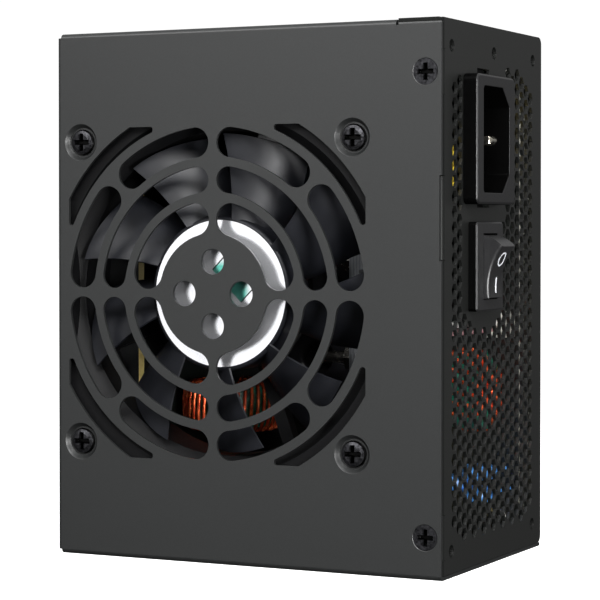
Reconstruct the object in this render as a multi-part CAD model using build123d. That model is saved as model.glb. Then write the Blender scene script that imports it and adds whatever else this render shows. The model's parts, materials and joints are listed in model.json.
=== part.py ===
from build123d import *
from math import atan2, cos, degrees, hypot, radians, sin, tan
import os

os.makedirs("parts", exist_ok=True)

# Small-form-factor (SFX) computer power supply, in millimetres.
# It stands on its 100 x 63.5 side.  -Y is the fan face, +X the mains panel with the
# inlet and switch, -X the output side, +Y the base plate.  The origin is the centre
# of the face that it stands on.

# ---- case ---------------------------------------------------------------------------
CASE_X = 100.0
CASE_Y = 63.5
CASE_Z = 125.0
SHEET = 0.8
X_OUT = -CASE_X / 2
X_MAINS = CASE_X / 2
Y_FAN = -CASE_Y / 2
Y_BASE = CASE_Y / 2
Y_FAN_IN = Y_FAN + SHEET
BEND = 1.2
SEAM = 0.1
COVER_TOP = CASE_Z - 0.2
TOP_BEND_END = 39.0
LIP_DEPTH = 10.0
TAB_LENGTH = 8.5
FLANGE_DEPTH = 8.0
FLANGE_BEND = 1.8

# ---- fastening ----------------------------------------------------------------------
CASE_SCREWS = [(46.1, 113.0), (46.1, 9.5)]
LIP_SCREWS = [(-26.3, 107.0), (-26.3, 18.0)]
HEAD_R = 2.95
SHANK_R = 1.4
PLAY = 0.1
REAR_HOLE_Y = 25.75
REAR_HOLE_Z = (6.0, 119.0)
REAR_HOLE_R = 1.45
COLLAR_R = 2.3
COLLAR_DEPTH = 1.2

# ---- grille and fan -----------------------------------------------------------------
FAN_X = -7.5
FAN_Z = 63.0
FAN_SIZE = 80.0
FAN_DEPTH = 15.0
FAN_HOLE = 35.75
BAR = 2.2
RIB = 2.0
GRILLE_RINGS = [(14.1, 21.7), (23.7, 29.9)]
OUTER_RING = (31.95, 39.0)
CRESCENT = (41.1, 45.0)
CRESCENT_SQUARE = 78.2
HUB_HOLE_R = 3.0
HUB_HOLE_PITCH_R = 7.5
DIMPLE_R = 4.4
DIMPLE_DEPTH = 1.2
DIMPLE_FLOOR_R = 3.5
FAN_FRONT = Y_FAN_IN + DIMPLE_DEPTH
FAN_BACK = FAN_FRONT + FAN_DEPTH
FAN_BORE_R = 38.2
FAN_FLANGE = 3.0
BLADES = 9
BLADE_TIP_R = 37.4
HUB_R = 18.2
HUB_FRONT = FAN_FRONT + 1.65
HUB_BACK = HUB_FRONT + 10.1
BLADE_FRONT = FAN_FRONT + 1.2
BLADE_BACK = FAN_BACK - FAN_FLANGE - 0.6
BLADE_MID_ANGLE = 111.0
BLADE_SPAN = 28.5
SHAFT_R = 1.5
BUSH_R = 3.6
TUBE_R = 4.6

# ---- mains panel --------------------------------------------------------------------
HEX_FLATS = 2.85
HEX_PITCH = 3.4745
HEX_COLUMN = HEX_PITCH * cos(radians(30))
HEX_COLUMNS = 17
HEX_BOTTOM = 8.85
HEX_TOP = 115.0
INLET_Y = -7.3
INLET_Z = 98.5
INLET_FLANGE = (23.6, 29.6)
INLET_PROUD = 3.6
INLET_CAVITY = (16.3, 24.3)
INLET_BODY = (19.2, 27.1)
INLET_BACK = 33.5
INLET_FLOOR = 35.6
EARTH_TIP = X_MAINS + 2.3
LINE_TIP = X_MAINS + 0.4
SWITCH_Y = -7.7
SWITCH_Z = 69.5
SWITCH_FLANGE = (16.4, 20.4)
SWITCH_PROUD = 2.2
SWITCH_BODY = (13.2, 17.6)
SWITCH_BACK = 36.0
WELL = (8.7, 15.2)
ROCKER_WIDTH = 8.2
ROCKER_R = 7.35
ROCKER_PIVOT_X = 50.6
ROCKER_TRAVEL = 30.0
ROCKER_TIP_R = 7.7
ROCKER_TIP_ANGLE = 51.7
PIVOT_R = 1.0

# ---- boards -------------------------------------------------------------------------
BOARD = 1.6
BOARD_FRONT = 21.8
BOARD_BACK = BOARD_FRONT + BOARD
BOARD_X = (-47.0, 47.3)
BOARD_Z = (3.0, 122.0)
BOARD_FIXINGS = [(-42.5, 7.5), (42.5, 7.5), (-42.5, 117.5), (42.5, 117.5)]
OUTPUT_BOARD_X = -38.1
SOCKET_FACE = -49.9
SOCKET_PITCH = 4.2
SOCKET_ROWS_Y = (-8.2, 5.2)

# ---- semiconductors and their clamps --------------------------------------------------
PRIMARY_DEVICES = (47.2, 70.5, 82.0)
RECTIFIER_DEVICES = (-25.4, -8.6)
CLAMP_Y = -0.6
CLAMP_R = 1.45
CLAMP_HOLE_R = 1.6


def block(x, y, z):
    """A box given by its low and high X, Y and Z."""
    size = (x[1] - x[0], y[1] - y[0], z[1] - z[0])
    middle = ((x[0] + x[1]) / 2, (y[0] + y[1]) / 2, (z[0] + z[1]) / 2)
    return Pos(*middle) * Box(*size)


def rod_y(x, z, radius, low, high):
    """A round bar along Y."""
    plane = Plane((x, low, z), x_dir=(1, 0, 0), z_dir=(0, 1, 0))
    return plane * Cylinder(radius, high - low, align=(Align.CENTER, Align.CENTER, Align.MIN))


def rod_x(y, z, radius, low, high):
    """A round bar along X."""
    plane = Plane((low, y, z), x_dir=(0, 1, 0), z_dir=(1, 0, 0))
    return plane * Cylinder(radius, high - low, align=(Align.CENTER, Align.CENTER, Align.MIN))


def rod_z(x, y, radius, low, high):
    """A round bar along Z."""
    return Pos(x, y, low) * Cylinder(radius, high - low, align=(Align.CENTER, Align.CENTER, Align.MIN))


def ring_y(x, z, inner, outer, low, high):
    """A round tube along Y."""
    return rod_y(x, z, outer, low, high) - rod_y(x, z, inner, low - 1, high + 1)


def turned_y(x, z, outline):
    """A solid turned about a Y axis from (radius, y) points."""
    plane = Plane((x, 0, z), x_dir=(1, 0, 0), z_dir=(0, 0, 1))
    face = make_face(Polyline(*[(r, y) for r, y in outline], close=True))
    return revolve(plane * face, Axis((x, 0, z), (0, 1, 0)), 360)


def turned_x(y, z, outline):
    """A solid turned about an X axis from (x, radius) points."""
    plane = Plane((0, y, z), x_dir=(1, 0, 0), z_dir=(0, 0, 1))
    face = make_face(Polyline(*outline, close=True))
    return revolve(plane * face, Axis((0, y, z), (1, 0, 0)), 360)


def front_plane(y, x=0.0, z=0.0):
    """A sketch plane that faces the fan side, with its axes along X and Z."""
    return Plane((x, y, z), x_dir=(1, 0, 0), z_dir=(0, -1, 0))


def side_plane(x, y=0.0, z=0.0):
    """A sketch plane that faces the mains side, with its axes along Y and Z."""
    return Plane((x, y, z), x_dir=(0, 1, 0), z_dir=(1, 0, 0))


def lead(points, radii, radius):
    """A wire of straight runs joined by tangent arcs."""
    path = FilletPolyline(*points, radius=radii)
    start = Plane(origin=points[0], z_dir=Vector(*points[1]) - Vector(*points[0]))
    return sweep(start * Circle(radius), path=path)


def save(shape, node):
    """Write one node's solids."""
    solids = shape.solids()
    kept = solids[0] if len(solids) == 1 else Compound(children=list(solids))
    export_step(kept, f"parts/{node}.step")


# ---- cover --------------------------------------------------------------------------
def grille_openings():
    """The stamped openings, centred on the fan."""
    sketch = Sketch()
    for inner, outer in GRILLE_RINGS:
        middle = (inner + outer) / 2
        width = outer - inner
        start = degrees(atan2(BAR / 2 + width / 2, middle))
        for quarter in range(4):
            arc = CenterArc((0, 0), middle, quarter * 90 + start, 90 - 2 * start)
            sketch += SlotArc(arc, width)
    inner, outer = OUTER_RING
    middle = (inner + outer) / 2
    width = outer - inner
    start = degrees(atan2(BAR / 2 + width / 2, middle))
    end = 45 - degrees(atan2(RIB / 2 + width / 2, middle))
    for quarter in range(4):
        sketch += SlotArc(CenterArc((0, 0), middle, quarter * 90 + start, end - start), width)
        sketch += SlotArc(CenterArc((0, 0), middle, quarter * 90 + 90 - end, end - start), width)
    for quarter in range(4):
        sketch += Rot(0, 0, quarter * 90) * Pos(HUB_HOLE_PITCH_R, 0) * Circle(HUB_HOLE_R)
    ring = Circle(CRESCENT[1]) - Circle(CRESCENT[0])
    reach = CRESCENT_SQUARE / 2
    edge = 16.0
    corner = Pos((reach + edge) / 2, (reach + edge) / 2) * Rectangle(reach - edge, reach - edge)
    crescent = ring & corner
    crescent = fillet(crescent.vertices(), 0.6)
    for quarter in range(4):
        sketch += Rot(0, 0, quarter * 90) * crescent
    return sketch


def fan_screw_places():
    """The centres of the four fan screws."""
    return [(FAN_X + sx * FAN_HOLE, FAN_Z + sz * FAN_HOLE) for sx in (-1, 1) for sz in (-1, 1)]


def countersink(x, z, play):
    """The space of a countersunk case screw, with play all round."""
    head = HEAD_R + play
    shank = SHANK_R + play
    outline = [(0, Y_FAN - 1), (head, Y_FAN - 1), (head, Y_FAN), (shank, Y_FAN + HEAD_R - SHANK_R)]
    outline += [(shank, Y_FAN + 9), (0, Y_FAN + 9)]
    return turned_y(x, z, outline)


def lip_countersink(y, z, play):
    """The space of a countersunk screw in the lip on the output side."""
    head = HEAD_R + play
    shank = SHANK_R + play
    outline = [(X_OUT - 1, 0), (X_OUT - 1, head), (X_OUT, head), (X_OUT + HEAD_R - SHANK_R, shank)]
    outline += [(X_OUT + 9, shank), (X_OUT + 9, 0)]
    return turned_x(y, z, outline)


def cover():
    """The fan side of the case: face, top and bottom walls, and a lip on the output side."""
    depth = (Y_FAN, Y_BASE - 0.6)
    outer = block((X_OUT, X_MAINS), depth, (0, COVER_TOP))
    rounded = [e for e in outer.edges() if abs(e.center().Y - Y_FAN) < 0.01 and e.center().X < X_MAINS - 1]
    outer = fillet(rounded, BEND)
    inner = block((X_OUT + SHEET, X_MAINS + 2), (Y_FAN_IN, Y_BASE + 2), (SHEET, COVER_TOP - SHEET))
    rounded = [e for e in inner.edges() if abs(e.center().Y - Y_FAN_IN) < 0.01 and e.center().X < X_MAINS - 1]
    shell = outer - fillet(rounded, BEND - SHEET)
    walls_y = (Y_FAN_IN + LIP_DEPTH, Y_BASE + 2)
    shell -= block((X_OUT - 1, X_OUT + SHEET + 0.4), walls_y, (-1, CASE_Z + 1))
    for z in ((-1, 1.0), (CASE_Z - 1.2, CASE_Z + 1)):
        shell -= block((X_OUT - 1, X_OUT + 1.2), (Y_FAN - 1, Y_BASE), z)
    shell -= block((TOP_BEND_END, X_MAINS + 1), (Y_FAN_IN + 0.4, Y_BASE + 1), (COVER_TOP - 2, CASE_Z + 1))
    shell -= block((TOP_BEND_END, X_MAINS + 1), (Y_FAN - 1, Y_BASE + 1), (CASE_Z - 0.9, CASE_Z + 1))
    shell -= block((TOP_BEND_END, TOP_BEND_END + 0.6), (Y_FAN - 1, Y_BASE), (CASE_Z - 1.5, CASE_Z + 1))
    shell -= block((X_MAINS - 0.5, X_MAINS + 1), (Y_FAN - 1, Y_BASE), (71, 90))
    shell -= extrude(front_plane(Y_FAN_IN + 1, FAN_X, FAN_Z) * grille_openings(), 3)
    for x, z in fan_screw_places():
        back = Y_FAN_IN + DIMPLE_DEPTH
        boss = [(0, Y_FAN + 0.2), (5.0, Y_FAN + 0.2), (5.0, Y_FAN_IN), (4.2, back), (0, back)]
        shell += turned_y(x, z, boss)
        floor = Y_FAN + DIMPLE_DEPTH
        dimple = [(0, Y_FAN - 1), (DIMPLE_R, Y_FAN - 1), (DIMPLE_R, Y_FAN)]
        dimple += [(DIMPLE_FLOOR_R, floor), (0, floor)]
        shell -= turned_y(x, z, dimple)
        shell -= rod_y(x, z, 2.1, Y_FAN, back + 1)
    for x, z in CASE_SCREWS:
        shell -= countersink(x, z, PLAY)
    for y, z in LIP_SCREWS:
        shell -= lip_countersink(y, z, PLAY)
    return shell


# ---- chassis ------------------------------------------------------------------------
def honeycomb():
    """The centres of the vent holes, clear of the inlet, the switch and the corner holes."""
    centres = []
    for column in range(HEX_COLUMNS):
        y = (column - HEX_COLUMNS // 2) * HEX_COLUMN
        z = HEX_BOTTOM + HEX_PITCH / 2 * (column % 2)
        while z < HEX_TOP:
            corner = min(hypot(abs(y) - REAR_HOLE_Y, z - hole) for hole in REAR_HOLE_Z)
            rise = 0.5 * max(0.0, abs(y + 2 * HEX_COLUMN) - 2 * HEX_COLUMN - 0.1)
            by_switch = -19.6 < y < 4.5 and z > 54.9 + rise
            by_inlet = -19.6 < y < 7.6 and z > 80
            if corner > 6.4 and not by_switch and not by_inlet:
                centres.append((y, z))
            z += HEX_PITCH
    return centres


def mains_panel():
    """The mains panel as a flat sheet with its two windows, before the vents are punched."""
    low = (Y_FAN_IN + 0.3, SHEET + SEAM)
    high = (Y_BASE, CASE_Z)
    outline = Polyline((low[0], low[1]), (high[0], low[1]), (high[0], high[1]), (low[0], high[1]), close=True)
    outer = fillet(make_face(outline).vertices().group_by(Axis.X)[-1], FLANGE_BEND)
    panel = extrude(side_plane(X_MAINS - SHEET) * outer, SHEET)
    cut = (X_MAINS - 3, X_MAINS + 3)
    body_y = INLET_BODY[0] / 2 + 0.15
    body_z = INLET_BODY[1] / 2 + 0.15
    panel -= block(cut, (INLET_Y - body_y, INLET_Y + body_y), (INLET_Z - body_z, INLET_Z + body_z))
    panel -= block(cut, (INLET_Y - 3.25, INLET_Y + 4.25), (83.0, 115.0))
    body_y = SWITCH_BODY[0] / 2 + 0.15
    body_z = SWITCH_BODY[1] / 2 + 0.15
    panel -= block(cut, (SWITCH_Y - body_y, SWITCH_Y + body_y), (SWITCH_Z - body_z, SWITCH_Z + body_z))
    return panel


def rear_holes():
    """The five threaded holes of the mains panel."""
    corners = [(side * REAR_HOLE_Y, z) for side in (-1, 1) for z in REAR_HOLE_Z]
    return corners + [(0.0, REAR_HOLE_Z[1])]


def chassis():
    """The other half of the case: base plate, mains panel, output panel and flanges."""
    left = X_OUT + SHEET + 0.05
    z = (SHEET + SEAM, COVER_TOP - SHEET - SEAM)
    outer = block((left, X_MAINS), (Y_FAN_IN + 0.3, Y_BASE), z)
    base_edges = [e for e in outer.edges() if abs(e.center().Y - Y_BASE) < 0.01]
    long_edges = [e for e in base_edges if abs(e.center().X) < 5]
    outer = fillet(long_edges, FLANGE_BEND)
    inner_z = (z[0] + SHEET, z[1] - SHEET)
    inner = block((left + SHEET, X_MAINS - SHEET), (Y_FAN - 2, Y_BASE - SHEET), inner_z)
    base_edges = [e for e in inner.edges() if abs(e.center().Y - Y_BASE + SHEET) < 0.01]
    long_edges = [e for e in base_edges if abs(e.center().X) < 5]
    shell = outer - fillet(long_edges, FLANGE_BEND - SHEET)
    flange_y = (Y_FAN - 2, Y_BASE - FLANGE_DEPTH)
    for cut in ((-1, inner_z[0]), (inner_z[1], CASE_Z + 1)):
        shell -= block((left + SHEET, X_MAINS + 2), flange_y, cut)
    shell -= block((X_MAINS - SHEET, X_MAINS + 1), (Y_FAN - 2, Y_BASE + 1), (-1, CASE_Z + 1))
    shell += mains_panel()
    top_lip = block((TOP_BEND_END + 0.6, X_MAINS), (Y_FAN + 0.1, Y_BASE - 4), (CASE_Z - SHEET, CASE_Z))
    panel_edges = [e for e in top_lip.edges() if abs(e.center().X - X_MAINS) < 0.01]
    shell += fillet([e for e in panel_edges if abs(e.center().Z - CASE_Z) < 0.01], 0.7)
    tab_y = (Y_FAN_IN + SEAM, Y_FAN_IN + SEAM + SHEET)
    for tab_z in ((4.5, 14.5), (71.2, 89.8), (108.0, 118.0)):
        gap_z = (tab_z[0] - SEAM, tab_z[1] + SEAM)
        shell -= block((X_MAINS - 1, X_MAINS + 1), (Y_FAN, tab_y[1] + 0.6), gap_z)
        tab = block((X_MAINS - TAB_LENGTH, X_MAINS), tab_y, tab_z)
        tab += block((X_MAINS - SHEET, X_MAINS), (tab_y[0], tab_y[1] + 1.2), tab_z)
        panel_edges = [e for e in tab.edges() if abs(e.center().X - X_MAINS) < 0.01]
        shell += fillet([e for e in panel_edges if abs(e.center().Y - tab_y[0]) < 0.01], 1.0)
    for x, screw_z in CASE_SCREWS:
        shell -= countersink(x, screw_z, 0.02)
    for y, hole_z in LIP_SCREWS:
        shell -= lip_countersink(y, hole_z, 0.02)
    for y, hole_z in rear_holes():
        shell += rod_x(y, hole_z, COLLAR_R, X_MAINS - SHEET - COLLAR_DEPTH, X_MAINS - SHEET)
        shell -= rod_x(y, hole_z, REAR_HOLE_R, X_MAINS - 4, X_MAINS + 1)
    for x, hole_z in BOARD_FIXINGS:
        shell -= rod_y(x, hole_z, 1.8, Y_BASE - 2, Y_BASE + 1)
    for low, high, middle in socket_windows():
        cut_y = (middle - SOCKET_PITCH - 0.95, middle + SOCKET_PITCH + 0.95)
        shell -= block((X_OUT - 1, X_OUT + 3), cut_y, (low - 0.25, high + 0.25))
    hexagon = RegularPolygon(HEX_FLATS / 2, 6, major_radius=False).face()
    punch = extrude(Compound(children=[side_plane(X_MAINS - 2, y, z) * hexagon for y, z in honeycomb()]),
                    4, dir=(1, 0, 0))
    return shell.cut(*punch.solids())


# ---- screws -------------------------------------------------------------------------
def cross_recess(size, depth):
    """A cross recess that opens along +Z at the origin."""
    cross = Sketch() + Rectangle(size, size * 0.3) + Rectangle(size * 0.3, size)
    return extrude(cross, amount=-depth, taper=14)


def case_screws():
    """Two countersunk screws in the fan face and two in the cover's lip over the output panel."""
    screws = []
    for x, z in CASE_SCREWS:
        outline = [(0, Y_FAN + 0.05), (HEAD_R - 0.05, Y_FAN + 0.05)]
        outline += [(SHANK_R, Y_FAN + HEAD_R - SHANK_R), (SHANK_R, Y_FAN + 7), (0, Y_FAN + 7)]
        screw = turned_y(x, z, outline)
        recess = Plane((x, Y_FAN + 0.05, z), x_dir=(1, 0, 0), z_dir=(0, -1, 0)) * cross_recess(3.9, 1.3)
        screws.append(screw - recess)
    for y, z in LIP_SCREWS:
        outline = [(X_OUT + 0.05, 0), (X_OUT + 0.05, HEAD_R - 0.05)]
        outline += [(X_OUT + HEAD_R - SHANK_R, SHANK_R), (X_OUT + 6, SHANK_R), (X_OUT + 6, 0)]
        recess = Plane((X_OUT + 0.05, y, z), x_dir=(0, 1, 0), z_dir=(-1, 0, 0)) * cross_recess(3.9, 1.3)
        screws.append(turned_x(y, z, outline) - recess)
    return screws


def fan_screws():
    """Four self-tapping pan-head screws, sunk in the stamped dimples."""
    screws = []
    seat = Y_FAN + DIMPLE_DEPTH
    for x, z in fan_screw_places():
        outline = [(0, Y_FAN + 0.02), (1.9, Y_FAN + 0.05), (2.75, Y_FAN + 0.4), (3.1, Y_FAN + 0.85)]
        outline += [(3.1, seat), (2.05, seat), (2.05, seat + 8), (1.2, seat + 9.5), (0, seat + 9.5)]
        screw = turned_y(x, z, outline)
        recess = Plane((x, Y_FAN + 0.02, z), x_dir=(1, 0, 0), z_dir=(0, -1, 0)) * cross_recess(4.3, 1.5)
        screws.append(screw - recess)
    return screws


# ---- fan ----------------------------------------------------------------------------
def fan_frame():
    """Square frame with a bell mouth, two flanges, four struts, motor base and bearing tube."""
    half = FAN_SIZE / 2
    square = RectangleRounded(FAN_SIZE, FAN_SIZE, 4.5)
    flange = extrude(front_plane(FAN_FRONT + FAN_FLANGE, FAN_X, FAN_Z) * square, FAN_FLANGE)
    flange += extrude(front_plane(FAN_BACK, FAN_X, FAN_Z) * square, FAN_FLANGE)
    tube = rod_y(FAN_X, FAN_Z, FAN_BORE_R + 1.4, FAN_FRONT + 1, FAN_BACK - 1)
    frame = flange + tube
    for x, z in fan_screw_places():
        frame += rod_y(x, z, 3.9, FAN_FRONT + 1, FAN_FRONT + 6)
        frame += rod_y(x, z, 3.9, FAN_BACK - 6, FAN_BACK - 1)
    frame -= rod_y(FAN_X, FAN_Z, FAN_BORE_R, FAN_FRONT - 1, FAN_BACK + 1)
    mouth = [(0, FAN_FRONT - 1), (44.0, FAN_FRONT - 1), (42.6, FAN_FRONT)]
    mouth += [(FAN_BORE_R, FAN_FRONT + 4.2), (0, FAN_FRONT + 4.2)]
    inside = block((FAN_X - half + 0.8, FAN_X + half - 0.8), (FAN_FRONT - 2, FAN_FRONT + 5),
                   (FAN_Z - half + 0.8, FAN_Z + half - 0.8))
    frame -= turned_y(FAN_X, FAN_Z, mouth) & inside
    for x, z in fan_screw_places():
        frame -= rod_y(x, z, 2.15, FAN_FRONT - 1, FAN_BACK + 1)
    base_front = FAN_BACK - 1.75
    base = rod_y(FAN_X, FAN_Z, 17.8, base_front, FAN_BACK)
    for turn in (20, 110, 200, 290):
        strut = block((16.5, FAN_BORE_R + 0.6), (FAN_BACK - FAN_FLANGE, FAN_BACK), (-1.6, 1.6))
        base += Pos(FAN_X, 0, FAN_Z) * Rot(0, -turn, 0) * strut
    base += ring_y(FAN_X, FAN_Z, BUSH_R, TUBE_R, HUB_FRONT + 4.1, base_front + 0.5)
    return frame + base


def blade():
    """One blade, reaching out along +X from the fan's axis before it is turned into place."""
    sections = []
    for radius, lead_angle in ((16.0, 7.6), (24.0, 11.1), (31.0, 14.6), (39.5, 19.4)):
        first = Vector(radius * tan(radians(lead_angle)), -BLADE_FRONT)
        last = Vector(radius * tan(radians(lead_angle - BLADE_SPAN)), -BLADE_BACK)
        chord = last - first
        normal = Vector(-chord.Y, chord.X).normalized()
        middle = (first + last) / 2 - normal * 0.085 * chord.length
        edge = normal * 0.22
        body = normal * 0.6
        upper = ThreePointArc(first + edge, middle + body, last + edge)
        lower = ThreePointArc(last - edge, middle - body, first - edge)
        outline = [upper, Line(last + edge, last - edge), lower, Line(first - edge, first + edge)]
        plane = Plane((radius, 0, 0), x_dir=(0, 0, 1), z_dir=(1, 0, 0))
        sections.append((plane * make_face(outline)).face())
    return loft(sections)


def fan_rotor():
    """The hub cup with its nine blades and the boss that holds the shaft."""
    wall = 1.25
    cup = rod_y(0, 0, HUB_R, HUB_FRONT, HUB_BACK)
    rim = cup.edges().sort_by(Axis.Y)[0]
    cup = fillet(rim, 0.9)
    cup -= rod_y(0, 0, HUB_R - wall, HUB_FRONT + 1.3, HUB_BACK + 1)
    cup += ring_y(0, 0, SHAFT_R, 4.2, HUB_FRONT + 1.0, HUB_FRONT + 3.6)
    cup -= rod_y(0, 0, SHAFT_R, HUB_FRONT + 0.9, HUB_FRONT + 5)
    cup -= rod_y(0, 0, 17.35, HUB_FRONT - 1, HUB_FRONT + 0.2)
    one = blade() & ring_y(0, 0, HUB_R - 0.6, BLADE_TIP_R, BLADE_FRONT - 1, BLADE_BACK + 1)
    rotor = cup
    for number in range(BLADES):
        rotor += Rot(0, -(BLADE_MID_ANGLE + number * 360 / BLADES), 0) * one
    return Pos(FAN_X, 0, FAN_Z) * rotor


def fan_motor():
    """Shaft, bush, yoke, magnet, stator, coils and circuit board of the fan."""
    x = FAN_X
    z = FAN_Z
    base_front = FAN_BACK - 1.75
    save(rod_y(x, z, SHAFT_R, HUB_FRONT + 0.95, base_front - 0.15), "fan_shaft")
    save(ring_y(x, z, SHAFT_R + 0.03, BUSH_R, HUB_FRONT + 4.3, base_front - 0.3), "fan_bearing")
    yoke = rod_y(x, z, 16.9, HUB_FRONT + 1.35, HUB_BACK - 0.2)
    yoke -= rod_y(x, z, 16.1, HUB_FRONT + 2.0, HUB_BACK + 1)
    yoke -= rod_y(x, z, 4.3, HUB_FRONT, HUB_BACK)
    save(yoke, "fan_yoke")
    save(ring_y(x, z, 14.7, 16.1, HUB_FRONT + 2.4, HUB_BACK - 0.2), "fan_magnet")
    core_front = HUB_FRONT + 4.9
    core_back = core_front + 3.6
    core = ring_y(x, z, TUBE_R, 6.6, core_front, core_back)
    coils = []
    for turn in range(0, 360, 90):
        turned = Pos(x, 0, z) * Rot(0, -turn, 0)
        core += turned * block((6.0, 12.0), (core_front, core_back), (-1.6, 1.6))
        tip = ring_y(0, 0, 11.6, 13.9, core_front, core_back) & block((0, 20), (-40, 0), (-8.6, 8.6))
        core += turned * tip
        winding = block((7.1, 10.9), (core_front - 0.9, core_back + 0.7), (-3.6, 3.6))
        winding -= block((6, 12), (core_front, core_back), (-1.6, 1.6))
        coils.append(turned * winding)
    save(core, "fan_stator")
    save(Compound(children=coils), "fan_coils")
    save(ring_y(x, z, TUBE_R, 15.5, base_front - 1.2, base_front - 0.2), "fan_circuit_board")
    save(rod_y(x, z, 17.2, HUB_FRONT + 0.05, HUB_FRONT + 0.2), "fan_label")


# ---- inlet and switch ---------------------------------------------------------------
def inlet_shape(width, height, chamfer):
    """The appliance-inlet outline: a rectangle with two corners cut on the earth side."""
    y = width / 2
    z = height / 2
    points = [(-y, -z), (y - chamfer, -z), (y, -z + chamfer), (y, z - chamfer), (y - chamfer, z), (-y, z)]
    face = make_face(Polyline(*points, close=True))
    return fillet(face.vertices(), 1.0)


def inlet_housing():
    """Flanged housing with the plug cavity, pin slots and two snap clips."""
    y = INLET_Y
    z = INLET_Z
    flange = extrude(side_plane(X_MAINS, y, z) * RectangleRounded(*INLET_FLANGE, 1.6), INLET_PROUD)
    flange = chamfer(flange.faces().sort_by(Axis.X)[-1].edges(), 0.45)
    body = extrude(side_plane(INLET_BACK, y, z) * RectangleRounded(*INLET_BODY, 1.5), X_MAINS - INLET_BACK)
    housing = flange + body
    cavity = side_plane(INLET_FLOOR, y, z) * inlet_shape(*INLET_CAVITY, 4.4)
    housing -= extrude(cavity, X_MAINS + INLET_PROUD + 1 - INLET_FLOOR)
    for side in (-1, 1):
        root = z + side * (INLET_BODY[1] / 2 - 0.4)
        tip = z + side * (INLET_BODY[1] / 2 + 3.3)
        points = [(41.5, root), (X_MAINS - SHEET - 0.1, root), (X_MAINS - SHEET - 0.1, tip), (47.6, tip)]
        wedge = make_face(Polyline(*points, close=True))
        wedge = Plane((0, y + 2.6, 0), x_dir=(1, 0, 0), z_dir=(0, -1, 0)) * wedge
        housing += extrude(wedge, 4.2)
    for pin_y, pin_z in inlet_pin_places():
        housing -= block((INLET_BACK - 1, INLET_FLOOR + 1), (pin_y - 2, pin_y + 2), (pin_z - 1, pin_z + 1))
    return housing


def inlet_pin_places():
    """Line, neutral and earth."""
    return [(INLET_Y - 2, INLET_Z + 7), (INLET_Y - 2, INLET_Z - 7), (INLET_Y + 2, INLET_Z)]


def inlet_pins():
    """Three blades with bevelled tips and solder tails."""
    pins = []
    for (y, z), tip_x in zip(inlet_pin_places(), (LINE_TIP, LINE_TIP, EARTH_TIP)):
        pin = block((INLET_BACK, tip_x), (y - 2, y + 2), (z - 1, z + 1))
        tip = pin.faces().sort_by(Axis.X)[-1].edges()
        pin = chamfer(tip, 0.7)
        pin += block((INLET_BACK - 5.0, INLET_BACK), (y - 2, y + 2), (z - 0.4, z + 0.4))
        pins.append(pin)
    return Compound(children=pins)


def switch_housing():
    """Flanged housing with the rocker's well, pivot bores and snap ribs."""
    y = SWITCH_Y
    z = SWITCH_Z
    flange = extrude(side_plane(X_MAINS, y, z) * RectangleRounded(*SWITCH_FLANGE, 0.8), SWITCH_PROUD)
    flange = chamfer(flange.faces().sort_by(Axis.X)[-1].edges(), 0.35)
    body = extrude(side_plane(SWITCH_BACK, y, z) * RectangleRounded(*SWITCH_BODY, 0.8), X_MAINS - SWITCH_BACK)
    housing = flange + body
    well_y = (y - WELL[0] / 2, y + WELL[0] / 2)
    well_z = (z - WELL[1] / 2, z + WELL[1] / 2)
    housing -= block((ROCKER_PIVOT_X - ROCKER_R - 0.4, X_MAINS + 5), well_y, well_z)
    housing -= rod_pivot(PIVOT_R + 0.05, WELL[0] / 2 + 1.7)
    for side in (-1, 1):
        face = z + side * SWITCH_BODY[1] / 2
        rib_z = sorted((face - side * 0.4, face + side * 0.9))
        housing += block((44.0, X_MAINS - SHEET - 0.1), (y - 3, y + 3), tuple(rib_z))
    for _, terminal_z in switch_terminal_places():
        slot_z = (terminal_z - 0.4, terminal_z + 0.4)
        housing -= block((SWITCH_BACK - 1, SWITCH_BACK + 4), (y - 2.4, y + 2.4), slot_z)
    return housing


def rod_pivot(radius, half):
    """The rocker's pivot, a round bar along Y."""
    return rod_y(ROCKER_PIVOT_X, SWITCH_Z, radius, SWITCH_Y - half, SWITCH_Y + half)


def rocker_face(offset):
    """The rocker's side outline about its pivot, in the middle of its travel."""
    tip = radians(ROCKER_TIP_ANGLE)
    low = (ROCKER_TIP_R * cos(tip) + offset, -ROCKER_TIP_R * sin(tip))
    high = (ROCKER_TIP_R * cos(tip) + offset, ROCKER_TIP_R * sin(tip))
    front = ThreePointArc(high, (low[0] - 1.25, 0), low)
    back_angle = radians(118)
    low_back = (ROCKER_R * cos(back_angle), -ROCKER_R * sin(back_angle))
    high_back = (ROCKER_R * cos(back_angle), ROCKER_R * sin(back_angle))
    side = radians(88)
    low_arc = ThreePointArc(low if offset == 0 else (low[0] - offset, low[1]),
                            (ROCKER_R * cos(side), -ROCKER_R * sin(side)), low_back)
    high_arc = ThreePointArc(high_back, (ROCKER_R * cos(side), ROCKER_R * sin(side)),
                             high if offset == 0 else (high[0] - offset, high[1]))
    outline = [front, low_arc, Line(low_back, high_back), high_arc]
    if offset:
        outline.append(Line((low[0] - offset, low[1]), low))
        outline.append(Line((high[0] - offset, high[1]), high))
    return make_face(outline)


def tilted(shape):
    """Turns a rocker piece from mid travel to its resting stop, with its upper end out."""
    return Pos(ROCKER_PIVOT_X, SWITCH_Y, SWITCH_Z) * Rot(0, ROCKER_TRAVEL / 2, 0) * shape


def rocker_solid(width, offset):
    """The rocker's body at the origin."""
    plane = Plane((0, 0, 0), x_dir=(1, 0, 0), z_dir=(0, -1, 0))
    return extrude(plane * rocker_face(offset), width / 2, both=True)


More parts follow.
